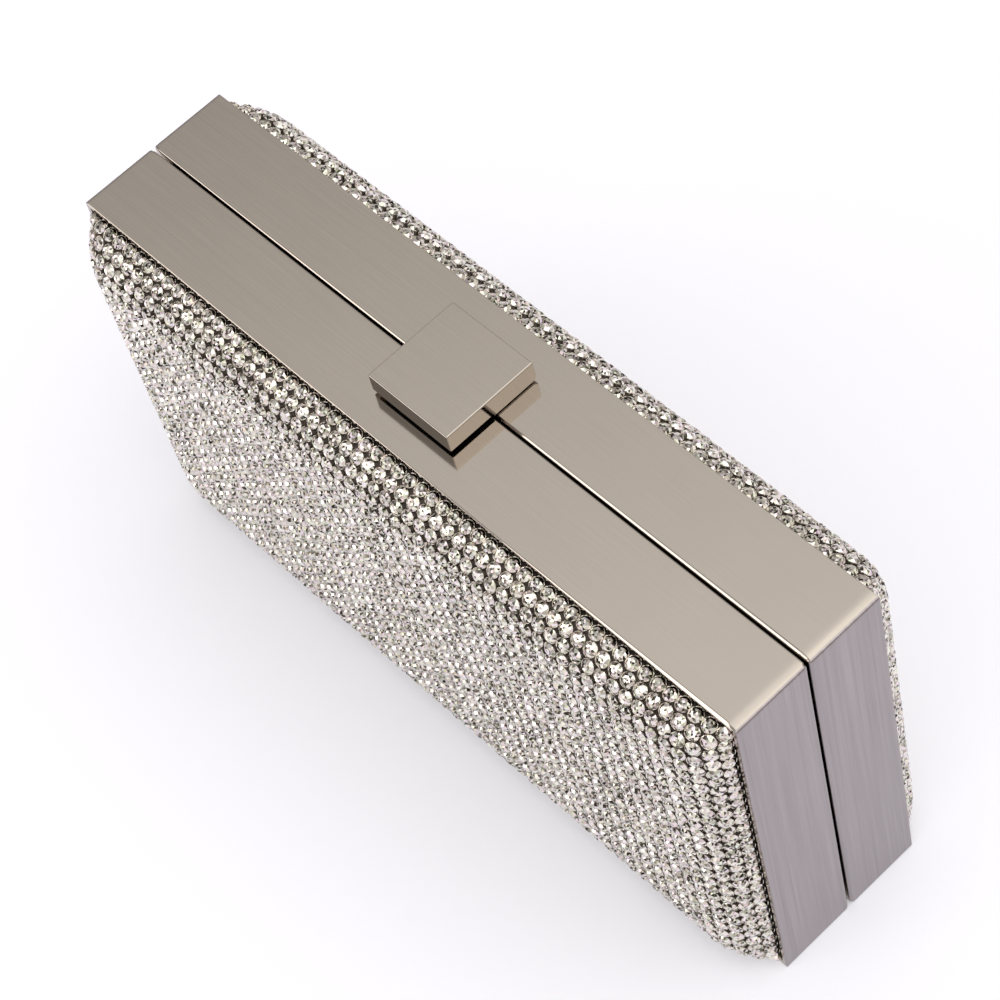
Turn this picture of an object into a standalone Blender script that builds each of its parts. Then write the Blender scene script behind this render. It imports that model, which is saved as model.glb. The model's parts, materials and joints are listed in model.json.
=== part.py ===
"""Hard box clutch bag: two metal frame halves, crystal mesh panels, lift clasp and two hinges.

Units are metres. +X runs along the bag, +Y to its back and +Z up; the origin is at the
centre of its base. The front half turns about the hinge pins and the clasp cover about
the clasp pin.
"""
import math

import bmesh
import bpy
from mathutils import Matrix, Vector

MM = 0.001

# Case
CASE_WIDTH = 190.0 * MM
CASE_HEIGHT = 99.7 * MM
FRAME_DEPTH = 37.4 * MM
SEAM_GAP = 0.6 * MM

# Clearances and cuts
FIT_GAP = 0.3 * MM
RUNNING_GAP = 0.15 * MM
OVERRUN = 1.0 * MM

# Frame bands
BAND_WALL = 1.2 * MM
BAND_CORNER = 1.2 * MM
SEAM_ROUND = 0.7 * MM
LIP_THICK = 1.2 * MM
LIP_HEIGHT = 2.2 * MM

# Domed panels
DOME_RISE = 8.5 * MM
DOME_CROWN = 0.4 * MM
DOME_EDGE = 11.0 * MM
MESH_THICK = 2.0 * MM
MESH_TUCK = 2.8 * MM
STONE_PITCH = 3.35 * MM
STONE_GROOVE = 0.9 * MM
SHELL_WALL = 1.2 * MM
SHELL_SKIRT = 3.3 * MM
LINING_THICK = 0.8 * MM

# Hinges
HINGE_SPREAD = 100.0 * MM
HINGE_LENGTH = 30.0 * MM
KNUCKLE_COUNT = 5
KNUCKLE_RADIUS = 1.15 * MM
KNUCKLE_LIFT = 0.15 * MM
HINGE_PIN_RADIUS = 0.55 * MM
PIN_HEAD_RADIUS = 0.95 * MM
PIN_HEAD_THICK = 0.5 * MM
LEAF_THICK = 0.8 * MM
LEAF_WIDTH = 9.0 * MM
HINGE_STOP_ANGLE = math.radians(102.0)

# Clasp
COVER_SIDE = 23.0 * MM
COVER_HEIGHT = 5.5 * MM
COVER_WALL = 1.2 * MM
COVER_EDGE = 0.3 * MM
COVER_FRONT_GAP = 1.1 * MM
PIVOT_BEAM = 2.6 * MM
CLASP_PIN_RADIUS = 0.5 * MM
EYE_WALL = 0.5 * MM
EYE_WIDTH = 2.0 * MM
EYE_SPREAD = 12.0 * MM
BASE_WIDTH = 16.0 * MM
BASE_THICK = 0.8 * MM
BASE_SETBACK = 1.0 * MM
RIVET_RADIUS = 0.7 * MM
RIVET_HEAD_RADIUS = 1.4 * MM
RIVET_HEAD_THICK = 0.6 * MM
RIVET_SPREAD = 6.0 * MM
TONGUE_WIDTH = 8.0 * MM
TONGUE_THICK = 0.8 * MM
TONGUE_REACH = 6.5 * MM
TONGUE_TAIL = 0.5 * MM
NOSE_LENGTH = 0.8 * MM
NOSE_THICK = 0.7 * MM
SCREW_RADIUS = 0.6 * MM
SCREW_HEAD_RADIUS = 1.2 * MM
SCREW_HEAD_THICK = 0.6 * MM
SCREW_BITE = 0.6 * MM
SCREW_SPREAD = 4.0 * MM
CATCH_WIDTH = 8.0 * MM
CATCH_THICK = 0.5 * MM
CATCH_LAND = 2.6 * MM
CATCH_COVERAGE = 0.4 * MM
NOTCH_SIDE_GAP = 1.0 * MM

# Rivet and screw heads: how far their crown and their rim reach
HEAD_CROWN_SHARE = 0.6
HEAD_RIM_SHARE = 0.4

# Profile of a row of stones: its groove and the two sides of its flat top, as shares of the pitch
ROW_SHARES = (0.0, 0.25, 0.75)

# Mesh density
EDGE_STEPS = 6
COLUMN_STEPS = 4
INNER_EDGE_STEPS = 3
INNER_COLUMN_STEPS = 6
INNER_ROW_STEPS = 4
ROUND_STEPS = 16
CORNER_STEPS = 5
SEAM_STEPS = 3
HEEL_STEPS = 6
RIM_STEPS = 2
ROLL_STEPS = 6
SHARP_ANGLE = math.radians(30.0)
WELD_DISTANCE = 0.001 * MM

# Places worked out from the sizes above
half_depth = FRAME_DEPTH / 2
seam_y = SEAM_GAP / 2
seam_round = min(SEAM_ROUND, BAND_CORNER - FIT_GAP)
mesh_inset = BAND_WALL + FIT_GAP
shell_inset = mesh_inset + MESH_THICK + FIT_GAP
shell_inner_inset = shell_inset + SHELL_WALL
lining_inset = shell_inner_inset + FIT_GAP
lip_inset = BAND_WALL + LIP_HEIGHT
plateau_inset = mesh_inset + DOME_EDGE
mesh_tuck_y = half_depth - MESH_TUCK
joggle_y = mesh_tuck_y - FIT_GAP
skirt_y = joggle_y - SHELL_SKIRT
edge_arc = math.pi / 2 * math.hypot(DOME_EDGE, DOME_RISE) / math.sqrt(2.0)
flat_height = CASE_HEIGHT - 2 * plateau_inset
stone_rows = int((2 * edge_arc + flat_height) / STONE_PITCH)
row_pitch = (2 * edge_arc + flat_height) / stone_rows
hinge_z = KNUCKLE_RADIUS + KNUCKLE_LIFT
relief_half = hinge_z * math.tan(HINGE_STOP_ANGLE / 2)
leaf_z = BAND_WALL + FIT_GAP
leaf_start = KNUCKLE_RADIUS + FIT_GAP
cover_z = CASE_HEIGHT + FIT_GAP
cover_top = cover_z + COVER_HEIGHT
cover_ceiling = cover_top - COVER_WALL
pivot_y = COVER_SIDE / 2 - PIVOT_BEAM / 2
pivot_z = cover_z + PIVOT_BEAM / 2
beam_front = COVER_SIDE / 2 - PIVOT_BEAM
eye_radius = CLASP_PIN_RADIUS + RUNNING_GAP + EYE_WALL
base_top = cover_z + BASE_THICK
base_rear = pivot_y - math.hypot(PIVOT_BEAM / 2, PIVOT_BEAM / 2) - FIT_GAP
rivet_y = (BASE_SETBACK + base_rear) / 2
screw_y = TONGUE_REACH / 2
catch_top = CASE_HEIGHT - BAND_WALL - FIT_GAP
nose_top = catch_top - CATCH_THICK - FIT_GAP
nose_bottom = nose_top - NOSE_THICK
nose_tip = TONGUE_REACH + NOSE_LENGTH
catch_tip = nose_tip - CATCH_COVERAGE
swing_reach = math.hypot(nose_tip + pivot_y, pivot_z - nose_bottom) - pivot_y
notch_reach = swing_reach + FIT_GAP


def clear_scene():
    for item in list(bpy.data.objects):
        bpy.data.objects.remove(item, do_unlink=True)


def make_collection(name):
    group = bpy.data.collections.new(name)
    bpy.context.scene.collection.children.link(group)
    return group


def make_material(name, color, roughness, metallic):
    material = bpy.data.materials.new(name)
    material.use_nodes = True
    shader = material.node_tree.nodes["Principled BSDF"]
    shader.inputs["Base Color"].default_value = (*color, 1.0)
    shader.inputs["Roughness"].default_value = roughness
    shader.inputs["Metallic"].default_value = metallic
    return material


def pewter_metal():
    return make_material("brushed pewter", (0.42, 0.39, 0.36), 0.22, 1.0)


def hinge_metal():
    return make_material("hinge steel", (0.50, 0.49, 0.47), 0.35, 1.0)


def spring_metal():
    return make_material("spring steel", (0.35, 0.35, 0.36), 0.30, 1.0)


def crystal_cloth():
    return make_material("crystal mesh", (0.78, 0.76, 0.73), 0.10, 0.4)


def shell_plastic():
    return make_material("moulded shell", (0.10, 0.10, 0.10), 0.55, 0.0)


def lining_satin():
    return make_material("satin lining", (0.05, 0.05, 0.06), 0.45, 0.0)


def mesh_object(name, bm, group, material=None):
    mesh = bpy.data.meshes.new(name)
    bm.to_mesh(mesh)
    bm.free()
    item = bpy.data.objects.new(name, mesh)
    group.objects.link(item)
    if material is not None:
        mesh.materials.append(material)
        mesh.shade_smooth()
        mesh.set_sharp_from_angle(angle=SHARP_ANGLE)
    return item


def box_mesh(low, high):
    bm = bmesh.new()
    bmesh.ops.create_cube(bm, size=1.0)
    low = Vector(low)
    high = Vector(high)
    size = high - low
    for vert in bm.verts:
        vert.co = Vector([low[i] + size[i] * (vert.co[i] + 0.5) for i in range(3)])
    return bm


def rod_mesh(radius, start, end, steps=ROUND_STEPS):
    """A closed cylinder from one point to another."""
    start = Vector(start)
    end = Vector(end)
    along = end - start
    turn = along.to_track_quat("Z", "Y").to_matrix().to_4x4()
    bm = bmesh.new()
    bmesh.ops.create_cone(bm, cap_ends=True, segments=steps, radius1=radius, radius2=radius,
                          depth=along.length, matrix=Matrix.Translation((start + end) / 2) @ turn)
    return bm


def as_tool(item):
    item.hide_render = True
    item.display_type = "WIRE"
    return item


def boolean(item, tool, operation):
    step = item.modifiers.new(tool.name, "BOOLEAN")
    step.operation = operation
    step.solver = "EXACT"
    step.object = tool
    return item


def cut_box(item, name, low, high):
    tool = as_tool(mesh_object(name, box_mesh(low, high), cutters))
    return boolean(item, tool, "DIFFERENCE")


def cut_rod(item, name, radius, start, end):
    tool = as_tool(mesh_object(name, rod_mesh(radius, start, end), cutters))
    return boolean(item, tool, "DIFFERENCE")


def add_box(item, name, low, high):
    tool = as_tool(mesh_object(name, box_mesh(low, high), cutters))
    return boolean(item, tool, "UNION")


def add_rod(item, name, radius, start, end):
    tool = as_tool(mesh_object(name, rod_mesh(radius, start, end), cutters))
    return boolean(item, tool, "UNION")


def turned(name, profile, material, group):
    """A solid of revolution about Z; the profile is (radius, height) from the top down."""
    bm = bmesh.new()
    verts = [bm.verts.new((radius, 0.0, height)) for radius, height in profile]
    for upper, lower in zip(verts, verts[1:]):
        bm.edges.new((upper, lower))
    item = mesh_object(name, bm, group, material)
    spin = item.modifiers.new("Screw", "SCREW")
    spin.steps = ROUND_STEPS
    spin.render_steps = ROUND_STEPS
    spin.use_merge_vertices = True
    spin.merge_threshold = WELD_DISTANCE
    return item


def outline_plate(name, points, width, material):
    """A strip with a (y, z) outline, as wide as asked along X."""
    curve = bpy.data.curves.new(name, "CURVE")
    curve.dimensions = "2D"
    curve.fill_mode = "BOTH"
    curve.extrude = width / 2
    spline = curve.splines.new("POLY")
    spline.points.add(len(points) - 1)
    for point, (y, z) in zip(spline.points, points):
        point.co = (y, z, 0.0, 1.0)
    spline.use_cyclic_u = True
    guide = bpy.data.objects.new(name + "_guide", curve)
    case.objects.link(guide)
    bpy.context.view_layer.update()
    shape = guide.evaluated_get(bpy.context.evaluated_depsgraph_get())
    mesh = bpy.data.meshes.new_from_object(shape)
    bpy.data.objects.remove(guide, do_unlink=True)
    bm = bmesh.new()
    bm.from_mesh(mesh)
    bmesh.ops.remove_doubles(bm, verts=bm.verts, dist=WELD_DISTANCE)
    # The outline was drawn on XY, so its first axis becomes Y, its second Z and its depth X.
    for vert in bm.verts:
        vert.co = Vector((vert.co.z, vert.co.x, vert.co.y))
    bmesh.ops.recalc_face_normals(bm, faces=bm.faces)
    return mesh_object(name, bm, case, material)


def placed(item, parent):
    """Hangs a finished piece on its moving group, with its world place kept."""
    item.parent = parent
    item.matrix_parent_inverse = Matrix.Translation(-parent.location)
    return item


def make_pivot(name, location):
    pivot = bpy.data.objects.new(name, None)
    pivot.location = location
    pivot.empty_display_size = KNUCKLE_RADIUS
    case.objects.link(pivot)
    return pivot


def frame_band(name, side, material):
    """One metal half of the frame: a ring of sheet with a rounded lip along the seam."""
    low = (-CASE_WIDTH / 2, seam_y, 0.0)
    high = (CASE_WIDTH / 2, half_depth, CASE_HEIGHT)
    bm = box_mesh(low, high)
    corners = [edge for edge in bm.edges if abs(edge.verts[0].co.y - edge.verts[1].co.y) > seam_y]
    bmesh.ops.bevel(bm, geom=corners, offset=BAND_CORNER, segments=CORNER_STEPS, profile=0.5,
                    affect="EDGES")
    seam = [edge for edge in bm.edges if all(vert.co.y < seam_y + WELD_DISTANCE for vert in edge.verts)]
    bmesh.ops.bevel(bm, geom=seam, offset=seam_round, segments=SEAM_STEPS, profile=0.5, affect="EDGES")
    band = mesh_object(name, bm, case, material)
    hollow_x = CASE_WIDTH / 2 - BAND_WALL
    cut_box(band, name + "_hollow", (-hollow_x, seam_y + LIP_THICK, BAND_WALL),
            (hollow_x, half_depth + OVERRUN, CASE_HEIGHT - BAND_WALL))
    mouth_x = CASE_WIDTH / 2 - lip_inset
    cut_box(band, name + "_mouth", (-mouth_x, -OVERRUN, lip_inset),
            (mouth_x, seam_y + LIP_THICK + OVERRUN, CASE_HEIGHT - lip_inset))
    boolean(band, hinge_relief(name), "DIFFERENCE")
    notch_half = HINGE_LENGTH / 2 + PIN_HEAD_THICK + 2 * FIT_GAP
    for word, center in hinge_places:
        cut_box(band, name + "_notch_" + word, (center - notch_half, -OVERRUN, -OVERRUN),
                (center + notch_half, max(leaf_start, seam_y + LIP_THICK), lip_inset + OVERRUN))
    return flipped(band, side)


def hinge_relief(name):
    """The bevel under the seam that lets the halves swing about a pin above their base."""
    below = -OVERRUN
    slope = (relief_half - seam_y) / hinge_z
    wide = seam_y + slope * (hinge_z - below)
    reach = CASE_WIDTH / 2 + OVERRUN
    bm = box_mesh((-reach, -wide, below), (reach, wide, hinge_z))
    for vert in bm.verts:
        if vert.co.z > 0.0:
            vert.co.y = math.copysign(seam_y, vert.co.y)
    return as_tool(mesh_object(name + "_relief", bm, cutters))


def flipped(item, side):
    """Turns a piece drawn for the back half into one for the front half."""
    if side < 0:
        mirror = Matrix.Scale(-1.0, 4, Vector((0.0, 1.0, 0.0)))
        tools = [step.object for step in item.modifiers if step.type == "BOOLEAN"]
        for shape in [item] + tools:
            bm = bmesh.new()
            bm.from_mesh(shape.data)
            bmesh.ops.transform(bm, matrix=mirror, verts=bm.verts)
            bmesh.ops.reverse_faces(bm, faces=bm.faces)
            bm.to_mesh(shape.data)
            bm.free()
    return item


def rim_station(step, edge_steps, flat_steps, half_size, inset):
    """Place and lift of one grid line: an elliptic edge at both ends and a flat middle."""
    total = 2 * edge_steps + flat_steps
    mirrored = step > total / 2
    near = total - step if mirrored else step
    edge_place = -(half_size - plateau_inset)
    if near < edge_steps:
        turn = math.pi / 2 * near / edge_steps
        place = -(half_size - inset - (plateau_inset - inset) * (1.0 - math.cos(turn)))
        lift = math.sin(turn)
    else:
        share = (near - edge_steps) / flat_steps
        place = edge_place * (1.0 - 2.0 * share)
        lift = 1.0
    return (-place if mirrored else place), lift


def layer_point(vert, marks, inset, rise, steps):
    """Where a grid vertex lies on a domed face; on the rim the face has no rise."""
    column_steps, row_steps = steps
    half_width = CASE_WIDTH / 2
    half_height = CASE_HEIGHT / 2
    x, lift_x = rim_station(vert[marks[0]], *column_steps, half_width, inset)
    z, lift_z = rim_station(vert[marks[1]], *row_steps, half_height, inset)
    crown = DOME_CROWN * (1.0 - (x / half_width) ** 2) * (1.0 - (z / half_height) ** 2)
    return Vector((x, half_depth + (rise + crown) * lift_x * lift_z, z + half_height))


def place_marks(bm):
    """Layers in which each vertex remembers its column and row."""
    return bm.verts.layers.float.new("column"), bm.verts.layers.float.new("row")


def domed_face(bm, marks, inset, rise, steps):
    """One smooth domed face, made from a grid."""
    totals = [2 * edge_steps + flat_steps for edge_steps, flat_steps in steps]
    made = bmesh.ops.create_grid(bm, x_segments=totals[0], y_segments=totals[1], size=0.5)
    for vert in made["verts"]:
        vert[marks[0]] = round((vert.co.x + 0.5) * totals[0])
        vert[marks[1]] = round((vert.co.y + 0.5) * totals[1])
        vert.co = layer_point(vert, marks, inset, rise, steps)


def stone_rows_face(bm, marks, inset, rise, steps):
    """A domed face on which each row of stones stands as a ridge with a flat top."""
    columns = 2 * EDGE_STEPS + COLUMN_STEPS
    lines = stone_rows * len(ROW_SHARES)
    made = bmesh.ops.create_grid(bm, x_segments=columns, y_segments=lines, size=0.5)
    for vert in made["verts"]:
        column = round((vert.co.x + 0.5) * columns)
        line = round((vert.co.y + 0.5) * lines)
        row, part = divmod(line, len(ROW_SHARES))
        vert[marks[0]] = column
        vert[marks[1]] = row + ROW_SHARES[part]
        on_rim = column in (0, columns) or line in (0, lines)
        groove = 0.0 if part or on_rim else STONE_GROOVE
        vert.co = layer_point(vert, marks, inset + groove, rise - groove, steps)


def folded_rim(bm, marks, rim, skirt, steps):
    """Carries a rim through the (y, inset) places of a skirt and gives its last edges."""
    for y, inset in skirt:
        grown = bmesh.ops.extrude_edge_only(bm, edges=rim)["geom"]
        for vert in [part for part in grown if isinstance(part, bmesh.types.BMVert)]:
            vert.co = layer_point(vert, marks, inset, 0.0, steps)
            vert.co.y = y
        rim = [part for part in grown if isinstance(part, bmesh.types.BMEdge) and part.is_boundary]
    return rim


def panel_layer(name, side, outer, inner, material):
    """A closed tray: an outer domed face, its skirt folded back, and an inner domed face."""
    outer_inset, outer_rise, outer_skirt = outer
    inner_inset, inner_rise, inner_skirt = inner
    bm = bmesh.new()
    marks = place_marks(bm)
    domed_face(bm, marks, outer_inset, outer_rise, inner_steps)
    rim = [edge for edge in bm.edges if edge.is_boundary]
    skirt = outer_skirt + inner_skirt[::-1] + [(half_depth, inner_inset)]
    folded_rim(bm, marks, rim, skirt, inner_steps)
    domed_face(bm, marks, inner_inset, inner_rise, inner_steps)
    bmesh.ops.remove_doubles(bm, verts=bm.verts, dist=WELD_DISTANCE)
    bmesh.ops.recalc_face_normals(bm, faces=bm.faces)
    return flipped(mesh_object(name, bm, case, material), side)


def crystal_panel(name, side, material):
    """Rows of stones on their cloth, whose edge is tucked into the band."""
    bm = bmesh.new()
    marks = place_marks(bm)
    stone_rows_face(bm, marks, mesh_inset, DOME_RISE, stone_steps)
    rim = [edge for edge in bm.edges if edge.is_boundary]
    outer_rim = folded_rim(bm, marks, rim, [(mesh_tuck_y, mesh_inset)], stone_steps)
    inner_inset = mesh_inset + MESH_THICK
    domed_face(bm, marks, inner_inset, DOME_RISE - MESH_THICK, inner_steps)
    rim = [edge for edge in bm.edges if edge.is_boundary and edge not in outer_rim]
    inner_rim = folded_rim(bm, marks, rim, [(mesh_tuck_y, inner_inset)], inner_steps)
    bmesh.ops.triangle_fill(bm, edges=outer_rim + inner_rim, use_beauty=True, normal=(0.0, 1.0, 0.0))
    bmesh.ops.recalc_face_normals(bm, faces=bm.faces)
    return flipped(mesh_object(name, bm, case, material), side)


def domed_shell(name, side, material):
    rise = DOME_RISE - MESH_THICK - FIT_GAP
    outer = (shell_inset, rise,
             [(joggle_y, shell_inset), (joggle_y, mesh_inset), (skirt_y, mesh_inset)])
    inner_step = joggle_y - SHELL_WALL
    skirt_inset = mesh_inset + SHELL_WALL
    inner = (shell_inner_inset, rise - SHELL_WALL,
             [(inner_step, shell_inner_inset), (inner_step, skirt_inset), (skirt_y, skirt_inset)])
    shell = panel_layer(name, side, outer, inner, material)
    leaf_end = sorted((0.0, side * (leaf_start + LEAF_WIDTH + FIT_GAP)))
    leaf_half = HINGE_LENGTH / 2 + FIT_GAP
    for word, center in hinge_places:
        cut_box(shell, name + "_leaf_notch_" + word, (center - leaf_half, leaf_end[0], 0.0),
                (center + leaf_half, leaf_end[1], leaf_z + LEAF_THICK + OVERRUN))
    return shell


def catch_notch(shell):
    """Room for the spring catch where it reaches the skirt of the front shell."""
    half = CATCH_WIDTH / 2 + FIT_GAP
    return cut_box(shell, "catch_notch", (-half, -notch_reach - CATCH_LAND - FIT_GAP,
                                          catch_top - CATCH_THICK - OVERRUN), (half, 0.0, CASE_HEIGHT))


def lining_tray(name, side, material):
    rise = DOME_RISE - MESH_THICK - SHELL_WALL - 2 * FIT_GAP
    rim_y = seam_y + FIT_GAP
    waist_y = joggle_y - SHELL_WALL - FIT_GAP
    rim_inset = lip_inset + FIT_GAP
    outer = (lining_inset, rise, [(waist_y, lining_inset), (rim_y, rim_inset)])
    inner = (lining_inset + LINING_THICK, rise - LINING_THICK,
             [(waist_y, lining_inset + LINING_THICK), (rim_y, rim_inset + LINING_THICK)])
    return panel_layer(name, side, outer, inner, material)


def hinge_leaf(name, side, center, material):
    """A leaf with its share of the knuckles: three on the back half, two on the front."""
    end = leaf_start + LEAF_WIDTH
    low_x = center - HINGE_LENGTH / 2
    leaf = mesh_object(name, box_mesh((low_x, leaf_start, leaf_z),
                                      (low_x + HINGE_LENGTH, end, leaf_z + LEAF_THICK)), case, material)
    pitch = HINGE_LENGTH / KNUCKLE_COUNT
    first = 0 if side > 0 else 1
    for index in range(first, KNUCKLE_COUNT, 2):
        start = low_x + index * pitch + FIT_GAP / 2
        stop = low_x + (index + 1) * pitch - FIT_GAP / 2
        word = name + "_knuckle_%d" % index
        add_rod(leaf, word, KNUCKLE_RADIUS, (start, 0.0, hinge_z), (stop, 0.0, hinge_z))
        add_box(leaf, word + "_strap", (start, 0.0, leaf_z),
                (stop, leaf_start + OVERRUN, leaf_z + LEAF_THICK))
    cut_rod(leaf, name + "_bore", HINGE_PIN_RADIUS + RUNNING_GAP,
            (low_x - OVERRUN, 0.0, hinge_z), (low_x + HINGE_LENGTH + OVERRUN, 0.0, hinge_z))
    return flipped(leaf, side)


def hinge_pin(name, center, material):
    """The hinge pin with its two peened heads."""
    half = HINGE_LENGTH / 2 + FIT_GAP
    profile = [(0.0, half + PIN_HEAD_THICK), (PIN_HEAD_RADIUS, half + PIN_HEAD_THICK / 2),
               (PIN_HEAD_RADIUS, half), (HINGE_PIN_RADIUS, half), (HINGE_PIN_RADIUS, -half),
               (PIN_HEAD_RADIUS, -half), (PIN_HEAD_RADIUS, -half - PIN_HEAD_THICK / 2),
               (0.0, -half - PIN_HEAD_THICK)]
    pin = turned(name, profile, material, case)
    pin.rotation_euler = (0.0, math.pi / 2, 0.0)
    pin.location = (center, 0.0, hinge_z)
    return pin


def clasp_cover(material):
    """The square block that is lifted at its front; it turns on its back edge."""
    half = COVER_SIDE / 2
    bm = box_mesh((-half, -half, cover_z), (half, half, cover_top))
    heel = [edge for edge in bm.edges
            if all(vert.co.y > 0.0 and vert.co.z < cover_top for vert in edge.verts)]
    bmesh.ops.bevel(bm, geom=heel, offset=PIVOT_BEAM / 2, segments=HEEL_STEPS, profile=0.5,
                    affect="EDGES")
    rim = [edge for edge in bm.edges if all(vert.co.z > cover_top - FIT_GAP for vert in edge.verts)]
    bmesh.ops.bevel(bm, geom=rim, offset=COVER_EDGE, segments=RIM_STEPS, profile=0.5, affect="EDGES")
    cover = mesh_object("clasp_cover", bm, case, material)
    wall_x = half - COVER_WALL
    cut_box(cover, "cover_hollow", (-wall_x, -wall_x, cover_z - OVERRUN),
            (wall_x, beam_front, cover_ceiling))
    cut_box(cover, "cover_front_step", (-half - OVERRUN, -half - OVERRUN, cover_z - OVERRUN),
            (half + OVERRUN, 0.0, CASE_HEIGHT + COVER_FRONT_GAP))
    cut_rod(cover, "cover_bore", CLASP_PIN_RADIUS + RUNNING_GAP,
            (-half - OVERRUN, pivot_y, pivot_z), (wall_x, pivot_y, pivot_z))
    slot_half = EYE_WIDTH / 2 + FIT_GAP
    for word, center in eye_places:
        cut_box(cover, "cover_slot_" + word, (center - slot_half, beam_front - OVERRUN, cover_z - OVERRUN),
                (center + slot_half, half + OVERRUN, pivot_z + eye_radius + FIT_GAP))
    for word, center in screw_places:
        cut_rod(cover, "cover_screw_hole_" + word, SCREW_RADIUS + RUNNING_GAP,
                (center, -screw_y, cover_ceiling - OVERRUN),
                (center, -screw_y, cover_ceiling + SCREW_BITE + RUNNING_GAP))
    return cover


def clasp_base(material):
    """The riveted plate whose two eyes hold the clasp pin."""
    plate = mesh_object("clasp_base", box_mesh((-BASE_WIDTH / 2, BASE_SETBACK, cover_z),
                                               (BASE_WIDTH / 2, base_rear, base_top)), case, material)
    for word, center in eye_places:
        low_x = center - EYE_WIDTH / 2
        high_x = center + EYE_WIDTH / 2
        add_rod(plate, "eye_" + word, eye_radius, (low_x, pivot_y, pivot_z), (high_x, pivot_y, pivot_z))
        add_box(plate, "eye_arm_" + word, (low_x, base_rear - 2 * BASE_THICK, cover_z + BASE_THICK / 2),
                (high_x, pivot_y, pivot_z))
    cut_rod(plate, "eye_bore", CLASP_PIN_RADIUS + RUNNING_GAP,
            (-COVER_SIDE / 2, pivot_y, pivot_z), (COVER_SIDE / 2, pivot_y, pivot_z))
    for word, center in rivet_places:
        cut_rod(plate, "base_rivet_hole_" + word, RIVET_RADIUS + RUNNING_GAP,
                (center, rivet_y, cover_z - OVERRUN), (center, rivet_y, base_top + OVERRUN))
    return plate


def clasp_pin(material):
    """A plain pin, flush with the cover's left side."""
    start = -COVER_SIDE / 2
    length = COVER_SIDE - COVER_WALL - FIT_GAP
    profile = [(0.0, length), (CLASP_PIN_RADIUS, length), (CLASP_PIN_RADIUS, 0.0), (0.0, 0.0)]
    pin = turned("clasp_pin", profile, material, case)
    pin.rotation_euler = (0.0, math.pi / 2, 0.0)
    pin.location = (start, pivot_y, pivot_z)
    return pin


def base_rivet(word, center, material):
    """A rivet through the base and the band, headed at both ends."""
    top = base_top + FIT_GAP
    under = CASE_HEIGHT - BAND_WALL - FIT_GAP
    height = top - under
    profile = [(0.0, height + RIVET_HEAD_THICK),
               (RIVET_HEAD_RADIUS * HEAD_CROWN_SHARE, height + RIVET_HEAD_THICK),
               (RIVET_HEAD_RADIUS, height + RIVET_HEAD_THICK * HEAD_RIM_SHARE),
               (RIVET_HEAD_RADIUS, height), (RIVET_RADIUS, height), (RIVET_RADIUS, 0.0),
               (RIVET_HEAD_RADIUS, 0.0), (RIVET_HEAD_RADIUS, -RIVET_HEAD_THICK * HEAD_RIM_SHARE),
               (RIVET_HEAD_RADIUS * HEAD_CROWN_SHARE, -RIVET_HEAD_THICK), (0.0, -RIVET_HEAD_THICK)]
    rivet = turned("base_rivet_" + word, profile, material, case)
    rivet.location = (center, rivet_y, under)
    return rivet


def clasp_tongue(material):
    """The strip under the cover whose hooked end drops through the front band."""
    flat_top = cover_ceiling - FIT_GAP
    flat_bottom = flat_top - TONGUE_THICK
    inner = TONGUE_REACH - TONGUE_THICK
    points = [(-TONGUE_TAIL, flat_top), (-TONGUE_REACH, flat_top), (-TONGUE_REACH, nose_top),
              (-nose_tip, nose_top), (-nose_tip + NOSE_LENGTH / 2, nose_bottom), (-inner, nose_bottom),
              (-inner, flat_bottom), (-TONGUE_TAIL, flat_bottom)]
    tongue = outline_plate("clasp_tongue", points, TONGUE_WIDTH, material)
    for word, center in screw_places:
        cut_rod(tongue, "tongue_hole_" + word, SCREW_RADIUS + RUNNING_GAP,
                (center, -screw_y, flat_bottom - OVERRUN), (center, -screw_y, flat_top + OVERRUN))
    return tongue


def tongue_screw(word, center, material):
    seat = cover_ceiling - 2 * FIT_GAP - TONGUE_THICK
    length = cover_ceiling + SCREW_BITE - seat
    profile = [(0.0, length), (SCREW_RADIUS, length), (SCREW_RADIUS, 0.0), (SCREW_HEAD_RADIUS, 0.0),
               (SCREW_HEAD_RADIUS, -SCREW_HEAD_THICK * HEAD_RIM_SHARE),
               (SCREW_HEAD_RADIUS * HEAD_CROWN_SHARE, -SCREW_HEAD_THICK), (0.0, -SCREW_HEAD_THICK)]
    screw = turned("tongue_screw_" + word, profile, material, case)
    screw.location = (center, -screw_y, seat)
    return screw


def spring_catch(material):
    """The leaf welded under the front band; its rolled end snaps over the tongue's nose."""
    bottom = catch_top - CATCH_THICK
    far = notch_reach + CATCH_LAND
    roll = CATCH_THICK / 2
    points = [(-far, catch_top), (-far, bottom)]
    for step in range(ROLL_STEPS + 1):
        turn = -math.pi / 2 + math.pi * step / ROLL_STEPS
        points.append((-catch_tip - roll + roll * math.cos(turn), bottom + roll + roll * math.sin(turn)))
    return outline_plate("spring_catch", points, CATCH_WIDTH, material)


clear_scene()
case = make_collection("clutch_bag")
cutters = make_collection("clutch_bag_cutters")

hinge_places = [("left", -HINGE_SPREAD / 2), ("right", HINGE_SPREAD / 2)]
eye_places = [("left", -EYE_SPREAD / 2), ("right", EYE_SPREAD / 2)]
rivet_places = [("left", -RIVET_SPREAD / 2), ("right", RIVET_SPREAD / 2)]
screw_places = [("left", -SCREW_SPREAD / 2), ("right", SCREW_SPREAD / 2)]
inner_steps = ((INNER_EDGE_STEPS, INNER_COLUMN_STEPS), (INNER_EDGE_STEPS, INNER_ROW_STEPS))
stone_steps = ((EDGE_STEPS, COLUMN_STEPS), (edge_arc / row_pitch, flat_height / row_pitch))

pewter = pewter_metal()
steel = hinge_metal()
spring = spring_metal()
crystal = crystal_cloth()
plastic = shell_plastic()
satin = lining_satin()

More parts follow.
